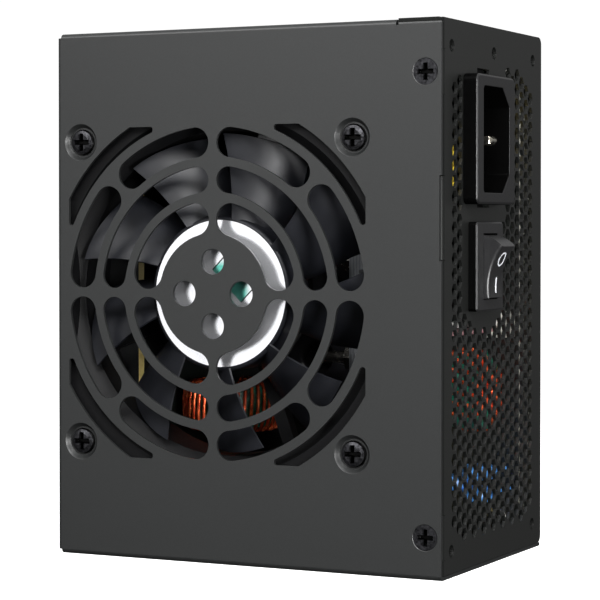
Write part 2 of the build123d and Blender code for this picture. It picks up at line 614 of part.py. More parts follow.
def rocker():
    """The rocker with rounded cheeks and its two pivot stubs."""
    body = rocker_solid(ROCKER_WIDTH, 0)
    front = [e for e in body.edges() if e.geom_type == GeomType.CIRCLE and e.center().X > 0.5
             and abs(abs(e.center().Y) - ROCKER_WIDTH / 2) < 0.01 and abs(e.center().Z) < 1]
    body = fillet(front, 0.9)
    body += rod_y(0, 0, PIVOT_R, -WELL[0] / 2 - 1.5, WELL[0] / 2 + 1.5)
    return tilted(body)


def rocker_marks():
    """The round off mark and the straight on mark, as thin raised ink."""
    skin = rocker_solid(ROCKER_WIDTH - 2.4, 0.06) - rocker_solid(ROCKER_WIDTH, 0)
    plane = Plane((0, 0, 0), x_dir=(0, 1, 0), z_dir=(1, 0, 0))
    ring = Pos(0, 2.7) * (Circle(1.75) - Circle(1.38))
    bar = Pos(0, -3.4) * RectangleRounded(0.55, 3.5, 0.2)
    marks = extrude(plane * (Sketch() + ring + bar), 12) & skin
    return tilted(marks)


def switch_terminal_places():
    """The blades of the switch, by width position and height."""
    return [(SWITCH_Y, SWITCH_Z + 5.0), (SWITCH_Y, SWITCH_Z - 3.5)]


def switch_terminals():
    """Two blades through the floor of the switch."""
    blades = []
    for y, z in switch_terminal_places():
        blades.append(block((SWITCH_BACK - 6.5, SWITCH_BACK + 3.8), (y - 2.4, y + 2.4), (z - 0.4, z + 0.4)))
    return Compound(children=blades)


# ---- output side --------------------------------------------------------------------
def output_sockets():
    """Each socket's node, column count, height of its middle and row."""
    rows = []
    rows.append(("output_socket_18_way", 9, 31.4, 0))
    rows.append(("output_socket_10_way", 5, 66.0, 0))
    for z in (88.8, 105.8):
        rows.append(("output_sockets_6_way", 3, z, 0))
        rows.append(("output_sockets_6_way", 3, z, 1))
    for z in (20.9, 42.9, 64.9):
        rows.append(("output_sockets_8_way", 4, z, 1))
    return rows


def socket_windows():
    """The low and high Z and the middle Y of each socket's window."""
    windows = []
    for _, columns, z, row in output_sockets():
        half = columns * SOCKET_PITCH / 2 + 0.5
        windows.append((z - half, z + half, SOCKET_ROWS_Y[row]))
    return windows


def output_socket_nodes():
    """Socket housings by node, and all their pins."""
    housings = {}
    pins = []
    for node, columns, z, row in output_sockets():
        y = SOCKET_ROWS_Y[row]
        half = columns * SOCKET_PITCH / 2 + 0.5
        body = block((SOCKET_FACE, OUTPUT_BOARD_X), (y - 4.9, y + 4.9), (z - half, z + half))
        cells = Sketch()
        for column in range(columns):
            for side in (-0.5, 0.5):
                cell_y = side * SOCKET_PITCH
                cell_z = (column - (columns - 1) / 2) * SOCKET_PITCH
                cells += Pos(cell_y, cell_z) * Rectangle(3.4, 3.4)
                pin_y = (y + cell_y - 0.5, y + cell_y + 0.5)
                pin_z = (z + cell_z - 0.5, z + cell_z + 0.5)
                pins.append(block((SOCKET_FACE + 2.2, OUTPUT_BOARD_X - 1.5), pin_y, pin_z))
        body -= extrude(side_plane(SOCKET_FACE - 1, y, z) * cells, OUTPUT_BOARD_X - 1.5 - SOCKET_FACE + 1)
        housings.setdefault(node, []).append(body)
    return housings, pins


def output_board():
    """The upright board behind the output sockets."""
    return block((OUTPUT_BOARD_X, OUTPUT_BOARD_X + BOARD), (-13.4, BOARD_FRONT), (9.0, 115.0))


# ---- main board and what it carries -------------------------------------------------
def main_board():
    """The main circuit board with four fixing holes."""
    board = block(BOARD_X, (BOARD_FRONT, BOARD_BACK), BOARD_Z)
    for x, z in BOARD_FIXINGS:
        board -= rod_y(x, z, 1.7, BOARD_FRONT - 1, BOARD_BACK + 1)
    return board


def insulating_sheet():
    """Thin plastic sheet over the base plate, with clearance round the standoffs."""
    sheet = block((-46.5, 47.5), (Y_BASE - SHEET - 0.5, Y_BASE - SHEET - 0.1), (3.5, 121.5))
    for x, z in BOARD_FIXINGS:
        sheet -= rod_y(x, z, 3.6, 20, 40)
    return sheet


def board_fixings():
    """Riveted standoffs and their screws."""
    standoffs = []
    screws = []
    for x, z in BOARD_FIXINGS:
        plane = Plane((x, BOARD_BACK, z), x_dir=(1, 0, 0), z_dir=(0, 1, 0))
        post = extrude(plane * RegularPolygon(2.75, 6, major_radius=False), Y_BASE - SHEET - BOARD_BACK)
        post += rod_y(x, z, 1.8, Y_BASE - SHEET, Y_BASE - 0.1)
        standoffs.append(post - rod_y(x, z, 1.3, BOARD_BACK - 1, BOARD_BACK + 5.5))
        head = BOARD_FRONT - 1.9
        outline = [(0, head), (1.8, head), (2.8, head + 0.9), (2.8, BOARD_FRONT), (1.3, BOARD_FRONT)]
        outline += [(1.3, BOARD_BACK + 4.8), (0, BOARD_BACK + 4.8)]
        recess = Plane((x, head, z), x_dir=(1, 0, 0), z_dir=(0, -1, 0)) * cross_recess(3.0, 1.1)
        screws.append(turned_y(x, z, outline) - recess)
    return Compound(children=standoffs), Compound(children=screws)


def winding_round(core_in, core_out, core_half, wire):
    """A tube-like winding that wraps a ring core, about the origin's Z axis."""
    outer = Cylinder(core_out + wire, 2 * (core_half + wire)) - Cylinder(core_in - wire, 99)
    outer = fillet(outer.edges(), wire * 0.95)
    return outer - ring_core(core_in, core_out, core_half)


def ring_core(core_in, core_out, core_half):
    """A ring core about the origin's Z axis."""
    return Cylinder(core_out, 2 * core_half) - Cylinder(core_in, 99)


def wedge(start, end, reach):
    """A sector about the origin's Z axis, used to keep one winding of a ring."""
    points = [(0, 0)]
    steps = 6
    for step in range(steps + 1):
        angle = radians(start + (end - start) * step / steps)
        points.append((reach * cos(angle), reach * sin(angle)))
    return extrude(make_face(Polyline(*points, close=True)), 60, both=True)


def magnetics():
    """Transformers and chokes."""
    front = BOARD_FRONT
    upright = Pos(-23.2, front - 13.3, 34) * Rot(0, 0, 90)
    save(upright * ring_core(6.6, 11.6, 5.0), "output_choke_core")
    save(upright * (winding_round(6.6, 11.6, 5.0, 1.6) & wedge(12, 348, 30)), "output_choke_winding")
    lying = Pos(0.5, front - 7.3, 46.5) * Rot(90, 0, 0)
    save(lying * ring_core(5.2, 9.2, 5.4), "boost_choke_core")
    save(lying * (winding_round(5.2, 9.2, 5.4, 1.4) & wedge(14, 346, 30)), "boost_choke_winding")
    standing = Pos(41, 9.0, 39.7) * Rot(0, 90, 0)
    save(standing * ring_core(4.6, 9.4, 3.6), "line_choke_core")
    wound = winding_round(4.6, 9.4, 3.6, 1.6)
    turns = []
    for start in (-62, 118):
        turns.append(standing * (wound & wedge(start, start + 124, 30)))
    save(Compound(children=[solid for part in turns for solid in part.solids()]), "line_choke_windings")
    core = block((-34.5, -8.5), (-4.6, front - 1.4), (56.5, 81.5))
    window = block((-34.5 + 5.5, -8.5 - 5.5), (-4.6 + 4.5, front - 1.4 - 4.5), (50, 90))
    leg = block((-24.5, -18.5), (-1, front - 3), (56.5, 81.5))
    save(core - window + leg, "main_transformer_core")
    bobbin = block((-28.9, -14.1), (0.0, front - 6.0), (53.5, 84.5))
    bobbin = fillet(bobbin.edges().filter_by(Axis.Y), 3.0)
    save(bobbin - block((-24.6, -18.4), (-2, front), (56.4, 81.6)), "main_transformer_winding")
    small = block((-7.0, 6.5), (6.5, front - 0.6), (64.5, 77.5))
    coil = block((-5.0, 4.5), (4.4, front - 2.6), (63.0, 79.0))
    save(small - coil, "standby_transformer_core")
    save(fillet(coil.edges().filter_by(Axis.Y), 1.5), "standby_transformer_winding")


def capacitor_can(x, z, radius, height):
    """A standing electrolytic can with a rolled groove near its foot."""
    foot = BOARD_FRONT
    top = foot - height
    outline = [(0, top), (radius - 0.8, top), (radius, top + 0.8), (radius, foot - 3.2)]
    outline += [(radius - 0.5, foot - 2.7), (radius - 0.5, foot - 2.3), (radius, foot - 1.8)]
    outline += [(radius, foot), (0, foot)]
    return turned_y(x, z, outline)


def capacitors():
    """Bulk, output, mains-filter and safety capacitors."""
    front = BOARD_FRONT
    save(capacitor_can(4, 97.5, 11.0, 33.6), "bulk_capacitor")
    places = [(-31, 7.2), (-21.5, 7.2), (-12, 7.2), (-2.5, 7.2), (-31, 48.9), (-16.5, 48.9)]
    save(Compound(children=[capacitor_can(x, z, 3.9, 16.0) for x, z in places]), "output_capacitors")
    boxes = [block((35.0, 48.0), (-23.0, -17.4), (86.5, 98.5)), block((32.0, 47.0), (6.0, front), (97.0, 107.5))]
    save(Compound(children=[fillet(box.edges(), 0.5) for box in boxes]), "x_capacitors")
    discs = []
    for x, z in ((43.2, 15.0), (43.2, 20.2), (37.0, 17.5)):
        disc = rod_z(x, 7.4, 4.3, z - 1.7, z + 1.7)
        disc = fillet(disc.edges(), 1.2)
        for side in (-2.6, 2.6):
            disc += rod_y(x + side, z, 0.4, 9.5, front)
        discs.append(disc)
    save(Compound(children=discs), "y_capacitors")


def semiconductors():
    """Heatsinks with what is clamped to them."""
    front = BOARD_FRONT
    sink = block((16.5, 19.0), (-8.0, front), (41.5, 112.0))
    sink += block((19.0, 20.8), (-8.0, -5.8), (68.5, 88.0))
    for z in PRIMARY_DEVICES:
        sink -= rod_x(CLAMP_Y, z, CLAMP_HOLE_R, 16.0, 20.0)
    save(sink, "primary_heatsink")
    sink = block((-34.0, 9.0), (-8.0, front), (11.8, 14.2))
    for x in (-32.5, -19.5, -15.5, -3.0, 3.5):
        sink += block((x, x + 1.2), (-8.0, 4.0), (14.2, 18.6))
    for x in RECTIFIER_DEVICES:
        sink -= rod_z(x, CLAMP_Y, CLAMP_HOLE_R, 11.0, 15.0)
    save(sink, "secondary_heatsink")
    parts = []
    for z in PRIMARY_DEVICES:
        case = block((12.0, 16.5), (3.0, 12.5), (z - 5, z + 5))
        case += block((15.2, 16.5), (-3.4, 3.0), (z - 5, z + 5))
        case -= rod_x(CLAMP_Y, z, CLAMP_HOLE_R, 15.0, 17.0)
        for step in (-2.54, 0, 2.54):
            case += block((13.4, 13.9), (12.5, front), (z + step - 0.4, z + step + 0.4))
        parts.append(case)
    save(Compound(children=parts), "primary_transistors")
    parts = []
    for x in RECTIFIER_DEVICES:
        case = block((x - 5, x + 5), (6.0, 15.5), (14.2, 18.7))
        case += block((x - 4.4, x + 4.4), (-3.4, 6.0), (14.2, 15.5))
        case -= rod_z(x, CLAMP_Y, CLAMP_HOLE_R, 14.0, 16.0)
        for step in (-2.54, 0, 2.54):
            case += block((x + step - 0.4, x + step + 0.4), (15.5, front), (16.3, 16.8))
        parts.append(case)
    save(Compound(children=parts), "rectifier_transistors")
    bridge = block((20.0, 40.0), (2.0, 19.0), (114.6, 119.0))
    bridge = chamfer(bridge.edges().filter_by(Axis.Z).sort_by(Axis.X)[-1:], 1.5)
    for x in (22.4, 27.5, 32.6, 37.7):
        bridge += block((x - 0.5, x + 0.5), (19.0, front), (116.3, 117.3))
    save(bridge, "bridge_rectifier")


def clamp_screws():
    """Screws and nuts that hold the semiconductors to the heatsinks, with the thread's end free."""
    nut = extrude(RegularPolygon(2.75, 6, major_radius=False), 2.4)
    head = rod_z(0, 0, 2.75, -1.9, 0)
    head = fillet(head.edges().sort_by(Axis.Z)[0], 0.9)
    tab = 1.3
    gap = 0.02
    screws = []
    for z in PRIMARY_DEVICES:
        sink = 2.5
        nut_plane = Plane((15.2 - gap, CLAMP_Y, z), x_dir=(0, 1, 0), z_dir=(-1, 0, 0))
        seat = -(tab + sink + 2 * gap)
        screws.append(nut_plane * (rod_z(0, 0, CLAMP_R, seat, 10.0) + nut + Pos(0, 0, seat) * head))
    for x in RECTIFIER_DEVICES:
        sink = 2.4
        nut_plane = Plane((x, CLAMP_Y, 15.5 + gap), x_dir=(1, 0, 0), z_dir=(0, 0, 1))
        seat = -(tab + sink + 2 * gap)
        screws.append(nut_plane * (rod_z(0, 0, CLAMP_R, seat, 3.6) + nut + Pos(0, 0, seat) * head))
    save(Compound(children=screws), "heatsink_screws")


def small_parts():
    """Fuse, thermistor and the upright control board."""
    front = BOARD_FRONT
    x = 28.2
    fuse = rod_z(x, 17.6, 2.6, 94.0, 112.0)
    fuse += rod_z(x, 17.6, 2.9, 94.0, 99.0) + rod_z(x, 17.6, 2.9, 107.0, 112.0)
    for z in (96.5, 109.5):
        fuse += block((x - 0.6, x + 0.6), (19.5, front), (z - 1.0, z + 1.0))
    save(fuse, "fuse")
    disc = rod_x(10.0, 70.0, 6.2, 36.0, 40.2)
    disc = fillet(disc.edges(), 1.4)
    for side in (-2.6, 2.6):
        disc += rod_y(38.1, 70.0 + side, 0.45, 14.0, front)
    save(disc, "inrush_thermistor")
    board = block((25.0, 26.2), (1.0, front), (9.0, 44.0))
    save(board, "control_board")
    chips = []
    for z, size in ((17.0, 3.0), (27.0, 4.5), (37.5, 2.5)):
        chips.append(block((26.2, 27.8), (9.0 - 2.5, 9.0 + 2.5), (z - size, z + size)))
    save(Compound(children=chips), "control_chips")


# ---- leads --------------------------------------------------------------------------
def largest_radii(points, share=0.45):
    """The largest arc that each corner of a route has room for."""
    radii = []
    for before, corner, after in zip(points, points[1:], points[2:]):
        first = Vector(*corner) - Vector(*before)
        second = Vector(*after) - Vector(*corner)
        turn = radians(first.get_angle(second))
        radii.append(share * min(first.length, second.length) / tan(turn / 2))
    return radii


def inner_leads():
    """Leads from the inlet and the switch to the board."""
    line, neutral, earth = inlet_pin_places()
    upper, lower = switch_terminal_places()
    tail = INLET_BACK - 5.0
    blade_end = SWITCH_BACK - 6.5
    bend_x = 22.8
    routes = {}
    routes["live_lead"] = [(tail, *line), (bend_x, *line), (bend_x, -12.4, 97.5)]
    routes["live_lead"] += [(bend_x, -12.4, 84.0), (bend_x, *upper), (blade_end, *upper)]
    routes["neutral_lead"] = [(tail, *neutral), (bend_x, *neutral), (bend_x, BOARD_FRONT, neutral[1])]
    routes["earth_lead"] = [(tail, *earth), (bend_x, *earth), (bend_x, BOARD_FRONT, earth[1])]
    routes["switch_lead"] = [(blade_end, *lower), (bend_x, *lower), (bend_x, BOARD_FRONT, lower[1])]
    for node, points in routes.items():
        radii = [min(4.0, radius) for radius in largest_radii(points)]
        save(lead(points, radii, 1.1), node)


def fan_lead():
    """The fan's two wires and their plug on the board."""
    wires = []
    for z in (54.1, 55.9):
        points = [(FAN_X + FAN_SIZE / 2 + 0.05, -16.3, z), (39.5, -16.1, z)]
        points += [(44.4, -10.5, z), (44.6, 2.0, z), (44.5, 14.0, z)]
        wires.append(lead(points, largest_radii(points), 0.75))
    save(Compound(children=wires), "fan_lead")
    plug = block((42.0, 47.0), (14.0, BOARD_FRONT), (51.9, 58.1))
    plug = chamfer(plug.faces().sort_by(Axis.Y)[0].edges(), 0.5)
    save(plug, "fan_connector")


def main():
    """Builds and writes every node."""
    save(cover(), "cover")
    save(chassis(), "chassis")
    save(Compound(children=case_screws()), "case_screws")
    save(Compound(children=fan_screws()), "fan_screws")
    save(fan_frame(), "fan_frame")
    save(fan_rotor(), "fan_rotor")
    fan_motor()
    save(inlet_housing(), "inlet_housing")
    save(inlet_pins(), "inlet_pins")
    save(switch_housing(), "switch_housing")
    save(rocker(), "switch_rocker")
    save(rocker_marks(), "rocker_marks")
    save(switch_terminals(), "switch_terminals")
    housings, pins = output_socket_nodes()
    for node, bodies in housings.items():
        save(Compound(children=bodies), node)
    save(Compound(children=pins), "output_socket_pins")
    save(output_board(), "output_board")
    save(main_board(), "main_board")
    save(insulating_sheet(), "insulating_sheet")
    standoffs, screws = board_fixings()
    save(standoffs, "board_standoffs")
    save(screws, "board_screws")
    magnetics()
    capacitors()
    semiconductors()
    clamp_screws()
    small_parts()
    inner_leads()
    fan_lead()


main()
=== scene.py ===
from math import cos, pi, radians, sin
import json
import bpy
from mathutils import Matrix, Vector

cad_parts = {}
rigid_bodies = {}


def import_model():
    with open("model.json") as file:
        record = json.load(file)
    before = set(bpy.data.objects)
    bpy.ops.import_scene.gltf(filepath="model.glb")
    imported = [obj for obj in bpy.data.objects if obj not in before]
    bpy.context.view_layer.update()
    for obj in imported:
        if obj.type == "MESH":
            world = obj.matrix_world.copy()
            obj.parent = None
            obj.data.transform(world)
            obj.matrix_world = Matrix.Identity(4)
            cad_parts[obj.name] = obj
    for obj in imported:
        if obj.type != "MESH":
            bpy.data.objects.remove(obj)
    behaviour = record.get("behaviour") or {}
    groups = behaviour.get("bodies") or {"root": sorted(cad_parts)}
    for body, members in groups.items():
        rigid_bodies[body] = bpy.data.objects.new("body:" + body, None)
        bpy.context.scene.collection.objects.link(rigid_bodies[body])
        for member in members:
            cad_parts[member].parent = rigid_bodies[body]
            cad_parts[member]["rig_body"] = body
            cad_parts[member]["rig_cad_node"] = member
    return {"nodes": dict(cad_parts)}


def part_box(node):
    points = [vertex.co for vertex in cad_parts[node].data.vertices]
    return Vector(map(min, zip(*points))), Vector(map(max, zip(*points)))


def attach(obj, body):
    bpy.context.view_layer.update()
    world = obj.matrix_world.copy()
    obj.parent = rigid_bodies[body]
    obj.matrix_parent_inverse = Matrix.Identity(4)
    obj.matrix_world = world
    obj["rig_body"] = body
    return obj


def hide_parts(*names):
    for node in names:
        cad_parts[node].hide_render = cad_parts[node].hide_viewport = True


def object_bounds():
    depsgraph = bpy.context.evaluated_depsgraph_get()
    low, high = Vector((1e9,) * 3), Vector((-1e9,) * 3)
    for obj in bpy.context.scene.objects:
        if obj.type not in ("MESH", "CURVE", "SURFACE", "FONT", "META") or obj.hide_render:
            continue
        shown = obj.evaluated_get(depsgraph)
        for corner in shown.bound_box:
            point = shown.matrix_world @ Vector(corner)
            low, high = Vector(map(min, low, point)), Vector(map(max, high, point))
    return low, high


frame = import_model()
cad_low, cad_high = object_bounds()
MM = 0.001

# ---- the camera ----------------------------------------------------------------------------
# A long portrait lens, a little above the middle of the case and turned to show the fan face
# and, at a slant, the mains panel. A small downward shift keeps the upright edges upright.
bpy.ops.object.camera_add(location=(0.2396, -0.4859, 0.0787), rotation=(radians(89), 0, radians(26.294)))
camera = bpy.context.object
camera.data.sensor_width = 36
camera.data.lens = 133.5
camera.data.shift_y = -0.0581
bpy.context.scene.camera = camera


# ---- case: cover ---------------------------------------------------------------------------
# The fan side of the case: one piece of 0.8 mm steel, stamped with the grille, folded, and
# powder coated in satin black. The coat rounds the stamped edges and has a fine orange peel.
def linear(code):
    """An sRGB hex colour as the linear RGBA that a shader socket takes."""
    parts = [int(code[start:start + 2], 16) / 255 for start in (1, 3, 5)]
    return [(c / 12.92 if c < 0.04045 else ((c + 0.055) / 1.055) ** 2.4) for c in parts] + [1.0]


def add(material, kind, inputs, **settings):
    """Adds a node, sets its settings, and gives each named socket its number or its link."""
    made = material.node_tree.nodes.new("ShaderNode" + kind)
    for name, value in settings.items():
        setattr(made, name, value)
    for socket, value in inputs.items():
        if isinstance(value, bpy.types.NodeSocket):
            material.node_tree.links.new(value, made.inputs[socket])
        else:
            made.inputs[socket].default_value = value
    return made


def new_material(name, **sockets):
    """A material whose one shader has these values, and the place on the object as a socket."""
    material = bpy.data.materials.new(name)
    material.use_nodes = True
    shader = material.node_tree.nodes["Principled BSDF"]
    for socket, value in sockets.items():
        shader.inputs[socket.replace("_", " ")].default_value = value
    place = add(material, "TexCoord", {}).outputs["Object"]
    return material, shader, place


def mottle(material, shader, place, codes, grain, roughness=None, detail=4.0):
    """Clouds the colour between two hex values, and the roughness between two numbers, in
    patches of about grain millimetres."""
    noise = add(material, "TexNoise", {"Vector": place, "Scale": 1 / (grain * MM), "Detail": detail})
    ramp = add(material, "ValToRGB", {"Fac": noise.outputs["Fac"]})
    ramp.color_ramp.elements[0].position = 0.35
    ramp.color_ramp.elements[1].position = 0.65
    ramp.color_ramp.elements[0].color = linear(codes[0])
    ramp.color_ramp.elements[1].color = linear(codes[1])
    material.node_tree.links.new(ramp.outputs["Color"], shader.inputs["Base Color"])
    if roughness:
        spread = add(material, "MapRange", {"Value": noise.outputs["Fac"], "From Min": 0.3, "From Max": 0.7,
                                            "To Min": roughness[0], "To Max": roughness[1]})
        material.node_tree.links.new(spread.outputs["Result"], shader.inputs["Roughness"])
    return noise


def emboss(material, shader, height, depth, strength=1.0):
    """Raises the surface by a pattern, depth millimetres deep."""
    bump = add(material, "Bump", {"Height": height, "Distance": depth * MM, "Strength": strength})
    material.node_tree.links.new(bump.outputs["Normal"], shader.inputs["Normal"])


def dress(material, *nodes):
    """Gives the frame's own nodes this finish."""
    for name in nodes:
        for held in frame["nodes"][name].material_slots:
            held.material = material


def softened(name, node, width, body, finish, segments=2, flat=0.5):
    """A copy of a node with its loose triangles merged and its sharp edges rounded."""
    bpy.ops.object.select_all(action="DESELECT")
    source = frame["nodes"][node]
    source.select_set(True)
    bpy.context.view_layer.objects.active = source
    bpy.ops.object.duplicate()
    piece = bpy.context.object
    piece.name = name
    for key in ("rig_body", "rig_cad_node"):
        if key in piece:
            del piece[key]
    bpy.ops.object.parent_clear(type="CLEAR_KEEP_TRANSFORM")
    bpy.ops.object.mode_set(mode="EDIT")
    bpy.ops.mesh.select_all(action="SELECT")
    bpy.ops.mesh.customdata_custom_splitnormals_clear()
    bpy.ops.mesh.remove_doubles(threshold=0.002 * MM)
    bpy.ops.mesh.dissolve_limited(angle_limit=radians(flat))
    bpy.ops.object.mode_set(mode="OBJECT")
    edge = piece.modifiers.new("rounded", "BEVEL")
    edge.width = width * MM
    edge.segments = segments
    edge.limit_method = "ANGLE"
    edge.angle_limit = radians(38)
    bpy.ops.object.modifier_apply(modifier="rounded")
    bpy.ops.object.shade_smooth_by_angle(angle=radians(32))
    flat_faces = piece.modifiers.new("flat_faces", "WEIGHTED_NORMAL")
    flat_faces.keep_sharp = True
    flat_faces.weight = 100
    bpy.ops.object.modifier_apply(modifier="flat_faces")
    for held in piece.material_slots:
        held.material = finish
    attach(piece, body)
    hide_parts(node)


def powder_coat(name, light, dark):
    """Satin powder coat: a slow orange peel of about 1.2 mm with fine grit of 0.35 mm in it,
    which is drawn a little coarser than the real grit so that it shows."""
    material, shader, place = new_material(name, Roughness=0.42, Specular_IOR_Level=0.5)
    grit = mottle(material, shader, place, (dark, light), 0.35, (0.38, 0.46), 2.0)
    peel = add(material, "TexNoise", {"Vector": place, "Scale": 1 / (1.2 * MM), "Detail": 1.0})
    both = add(material, "Math", {0: grit.outputs["Fac"], 1: peel.outputs["Fac"]}, operation="ADD")
    emboss(material, shader, both.outputs["Value"], 0.006, 0.6)
    return material


cover_coat = powder_coat("satin_black_powder_coat", "#1d1e1e", "#181919")
softened("cover_shell", "cover", 0.11, "case", cover_coat)

# ---- case: chassis -------------------------------------------------------------------------
# The other half of the case, of the same sheet and coat: base plate, mains panel punched with
# hexagonal vents, and output panel. It is painted darker than the cover, as shade. The coat
# lies thinner and duller on the folded tabs.
TAB_BEND = cad_low.y + 1.15 * MM
PANEL_COAT = TAB_BEND + 1 * MM
# Painted shade: the cover's coat in darker colours.
shaded_chassis_coat = powder_coat("satin_black_powder_coat_on_punched_sheet", "#121312", "#0e0f0e")
shader = shaded_chassis_coat.node_tree.nodes["Principled BSDF"]
place = add(shaded_chassis_coat, "TexCoord", {}).outputs["Object"]
along = add(shaded_chassis_coat, "SeparateXYZ", {"Vector": place})
gloss = add(shaded_chassis_coat, "MapRange", {"Value": along.outputs["Y"], "From Min": TAB_BEND,
                                       "From Max": PANEL_COAT, "To Min": 0.1, "To Max": 0.5})
shaded_chassis_coat.node_tree.links.new(gloss.outputs["Result"], shader.inputs["Specular IOR Level"])
dress(shaded_chassis_coat, "chassis")

# ---- screws --------------------------------------------------------------------------------
# Cross-recessed steel screws, blackened. The heads are rubbed, so they catch more light than
# the coat around them. Everything more than half a millimetre in from the case's faces, the
# recesses included, is painted near black as shade.
PAINTED_SHADE_DEPTH = 0.5 * MM
black_oxide, shader, place = new_material("black_oxide_steel", Metallic=0.85, Roughness=0.34)
rubbed = mottle(black_oxide, shader, place, ("#1c1c1e", "#3a3a3d"), 0.5, (0.26, 0.42))
emboss(black_oxide, shader, rubbed.outputs["Fac"], 0.01, 0.5)
along = add(black_oxide, "SeparateXYZ", {"Vector": place})
below_face = add(black_oxide, "Math", {0: along.outputs["Y"], 1: cad_low.y}, operation="SUBTRACT")
below_lip = add(black_oxide, "Math", {0: along.outputs["X"], 1: cad_low.x}, operation="SUBTRACT")
depth = add(black_oxide, "Math", {0: below_face.outputs["Value"], 1: below_lip.outputs["Value"]},
            operation="MINIMUM")
# Painted shade: near black on all that lies more than half a millimetre in from the case's faces.
painted_recess_shade = add(black_oxide, "Math", {0: depth.outputs["Value"], 1: PAINTED_SHADE_DEPTH}, operation="GREATER_THAN")
rubbed_colour = shader.inputs["Base Color"].links[0].from_socket
oxide = add(black_oxide, "Mix", {0: painted_recess_shade.outputs["Value"], 6: rubbed_colour, 7: linear("#030303")},
            data_type="RGBA")
black_oxide.node_tree.links.new(oxide.outputs[2], shader.inputs["Base Color"])
dress(black_oxide, "case_screws", "fan_screws")

# ---- fan: frame ----------------------------------------------------------------------------
# A square frame moulded in black glass-filled plastic, with a matt, faintly grainy skin.
frame_plastic, shader, place = new_material("moulded_glass_filled_plastic", Specular_IOR_Level=0.15)
grain = mottle(frame_plastic, shader, place, ("#050506", "#09090a"), 0.4, (0.5, 0.62))
emboss(frame_plastic, shader, grain.outputs["Fac"], 0.01, 0.5)
dress(frame_plastic, "fan_frame")

# ---- fan: rotor ----------------------------------------------------------------------------
# The hub cup and nine blades, moulded in one in a dark, slightly smoky plastic. The mould is
# polished, so the blades are satin, with faint clouds where the plastic has flowed.
blade_plastic, shader, place = new_material("polished_mould_dark_plastic", Specular_IOR_Level=0.26)
flow = mottle(blade_plastic, shader, place, ("#101115", "#16171b"), 6.0, (0.4, 0.5))
emboss(blade_plastic, shader, flow.outputs["Fac"], 0.05, 0.3)
dress(blade_plastic, "fan_rotor")

# ---- fan: label ----------------------------------------------------------------------------
# A round mirror-silver foil on the hub. A teal patch lies on its upper half, between two thin
# dark lines that end short of the rim, and fades outwards. It carries no mark and no words.
BAND_HALF = 5.3 * MM
LINE_HALF = 0.16 * MM
LINES_REACH = 11.5 * MM
UPPER_HALF = 2.5 * MM
TEAL_FULL = 6.4 * MM
TEAL_GONE = 8.2 * MM
label_low, label_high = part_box("fan_label")
foil, shader, place = new_material("mirror_silver_foil", Metallic=0.85, Roughness=0.2)
centred = add(foil, "Mapping", {"Vector": place, "Location": (label_low + label_high) / -2})
turned = add(foil, "Mapping", {"Vector": centred.outputs["Vector"], "Rotation": (0, radians(-45), 0)})
across = add(foil, "SeparateXYZ", {"Vector": turned.outputs["Vector"]})
offset = add(foil, "Math", {0: across.outputs["X"]}, operation="ABSOLUTE")
radius = add(foil, "VectorMath", {0: centred.outputs["Vector"]}, operation="LENGTH")

upper = add(foil, "Math", {0: across.outputs["Z"], 1: UPPER_HALF}, operation="GREATER_THAN")
in_band = add(foil, "Math", {0: offset.outputs["Value"], 1: BAND_HALF}, operation="LESS_THAN")
patch = add(foil, "Math", {0: in_band.outputs["Value"], 1: upper.outputs["Value"]}, operation="MULTIPLY")
fade = add(foil, "MapRange", {"Value": radius.outputs["Value"], "From Min": TEAL_FULL, "From Max": TEAL_GONE,
                              "To Min": 1.0, "To Max": 0.0})
teal = add(foil, "Math", {0: patch.outputs["Value"], 1: fade.outputs["Result"]}, operation="MULTIPLY")
printed = add(foil, "Mix", {0: teal.outputs["Value"], 6: linear("#e9eaee"), 7: linear("#5fb8a8")},
              data_type="RGBA")

on_line = add(foil, "Math", {0: offset.outputs["Value"], 1: BAND_HALF, 2: LINE_HALF}, operation="COMPARE")
near = add(foil, "Math", {0: radius.outputs["Value"], 1: LINES_REACH}, operation="LESS_THAN")
near_top = add(foil, "Math", {0: near.outputs["Value"], 1: upper.outputs["Value"]}, operation="MULTIPLY")
line = add(foil, "Math", {0: on_line.outputs["Value"], 1: near_top.outputs["Value"]}, operation="MULTIPLY")
lined = add(foil, "Mix", {0: line.outputs["Value"], 6: printed.outputs[2], 7: linear("#0b0b0c")},
            data_type="RGBA")
foil.node_tree.links.new(lined.outputs[2], shader.inputs["Base Color"])
crinkle = add(foil, "TexNoise", {"Vector": place, "Scale": 1 / (4.0 * MM), "Detail": 1.0})
emboss(foil, shader, crinkle.outputs["Fac"], 0.02, 0.25)
dress(foil, "fan_label")

# ---- fan: motor ----------------------------------------------------------------------------
# Ground steel shaft, sintered bronze bush, pressed yoke, ferrite ring magnet and a stack of
# electrical-steel laminations, whose edges show as fine lines across the motor's axis.
ground_steel, shader, place = new_material("ground_steel", Metallic=1.0, Roughness=0.25)
mottle(ground_steel, shader, place, ("#a5a5a8", "#b9b9bc"), 0.8, (0.2, 0.3))
dress(ground_steel, "fan_shaft", "fan_yoke")

bronze, shader, place = new_material("sintered_bronze", Metallic=1.0, Roughness=0.45)
pores = mottle(bronze, shader, place, ("#7d5a2c", "#b08647"), 0.25, (0.38, 0.55))
emboss(bronze, shader, pores.outputs["Fac"], 0.02)
dress(bronze, "fan_bearing")


